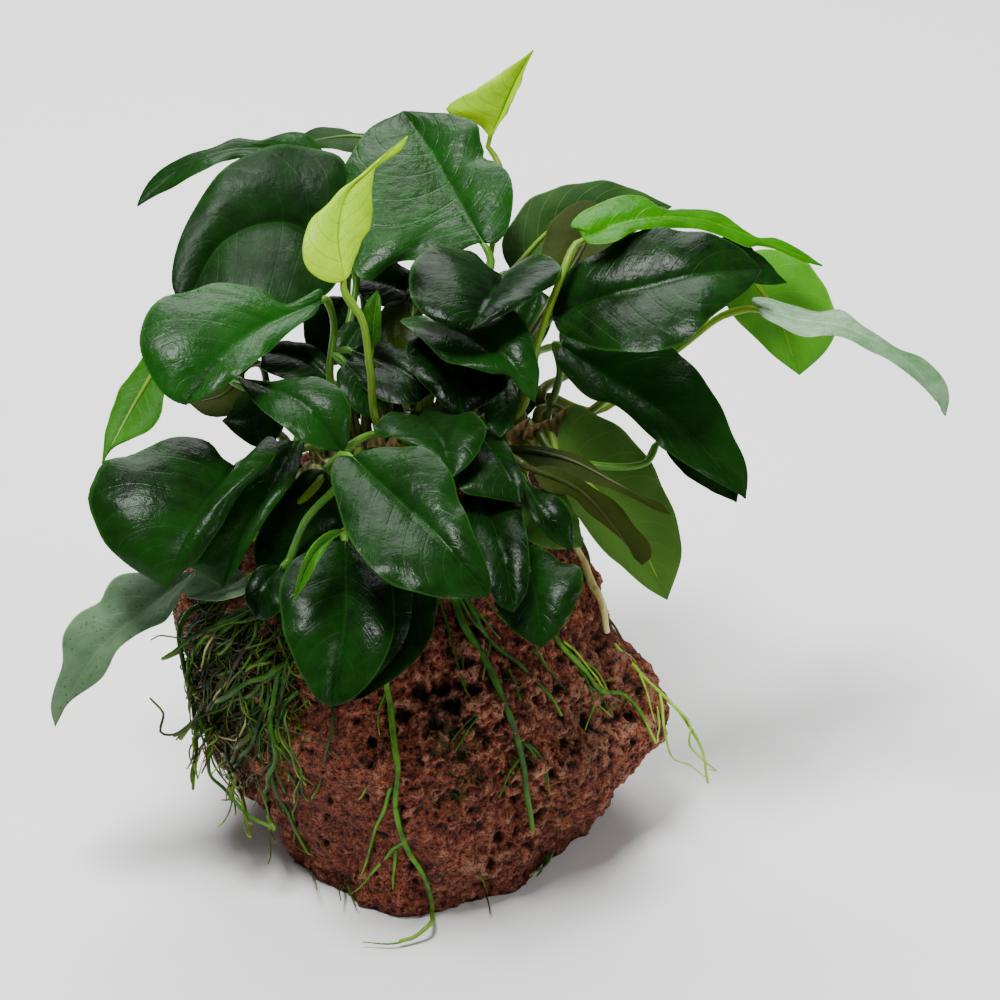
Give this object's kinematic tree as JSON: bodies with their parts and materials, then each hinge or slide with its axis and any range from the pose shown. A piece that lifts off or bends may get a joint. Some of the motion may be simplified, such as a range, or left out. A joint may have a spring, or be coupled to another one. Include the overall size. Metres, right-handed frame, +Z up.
{
  "type": "anubias on stone",
  "caption": "Aquarium plant with a creeping rhizome, glossy heart-shaped leaves on long stalks and hanging roots, growing on a porous lava stone with a flat underside.",
  "frame": {"origin": "on the stone's flat underside, near its middle, at the height of the surface that it stands on", "axes": "+Z up, away from the underside; +X along the plant's widest spread, to the right as the plant is seen from its front; -Y towards that front"},
  "size_m": [0.2235, 0.1624, 0.1768],
  "materials": {
    "stone": "matte",
    "rhizome": "satin",
    "root_green": "satin",
    "root_pale": "satin",
    "leaf_dark": "gloss",
    "leaf_young": "gloss",
    "leaf_lime": "gloss",
    "leaf_grey": "gloss",
    "leaf_olive": "satin",
    "leaf_underside": "satin"
  },
  "bodies": {
    "root": {"stone": "stone", "rhizome": "rhizome", "root_front": "root_green", "root_right_thick": "root_green", "root_far_right": "root_green", "root_free_right": "root_green", "root_left_long": "root_green", "root_left_edge": "root_green", "root_left_out": "root_green", "root_left_hook": "root_green", "root_pale_right": "root_pale", "leaf_young_top": "leaf_young", "leaf_young_front": "leaf_young", "leaf_narrow_front": "leaf_young", "leaf_lime_arching": "leaf_lime", "leaf_pale_right": "leaf_lime", "leaf_hanging_left": "leaf_lime", "leaf_low_left": "leaf_grey", "leaf_twisted_right": "leaf_grey", "leaf_olive_rolled": "leaf_olive", "leaf_olive_right": "leaf_olive", "leaf_olive_back": "leaf_olive", "leaf_pale_inner_left": "leaf_olive", "leaf_underside_right": "leaf_underside", "leaf_back_right": "leaf_underside", "leaf_small_underside": "leaf_underside", "leaf_front_centre": "leaf_dark", "leaf_front_low": "leaf_dark", "leaf_shaded_low": "leaf_dark", "leaf_front_right_low": "leaf_dark", "leaf_broad_left": "leaf_dark", "leaf_long_left": "leaf_dark", "leaf_glossy_left": "leaf_dark", "leaf_wet_left": "leaf_dark", "leaf_round_left": "leaf_dark", "leaf_far_left": "leaf_dark", "leaf_back_left": "leaf_dark", "leaf_wet_crown": "leaf_dark", "leaf_dark_centre": "leaf_dark", "leaf_ribbed_centre": "leaf_dark", "leaf_black_centre": "leaf_dark", "leaf_shaded_centre": "leaf_dark", "leaf_inner_front": "leaf_dark", "leaf_inner_right": "leaf_dark", "leaf_right_of_centre": "leaf_dark", "leaf_low_right": "leaf_dark", "leaf_slim_right": "leaf_dark", "leaf_big_right": "leaf_dark", "leaf_drooping_right": "leaf_dark", "leaf_tucked_right": "leaf_dark", "leaf_small_right": "leaf_dark", "leaf_small_left": "leaf_dark", "leaf_grey_inner": "leaf_dark", "leaf_hidden_left": "leaf_dark", "leaf_low_dark": "leaf_dark", "leaf_green_inner": "leaf_dark", "leaf_shaded_right": "leaf_dark", "leaf_rear_left": "leaf_dark", "leaf_rear_middle": "leaf_dark", "leaf_rear_right": "leaf_dark"}
  },
  "joints": []
}
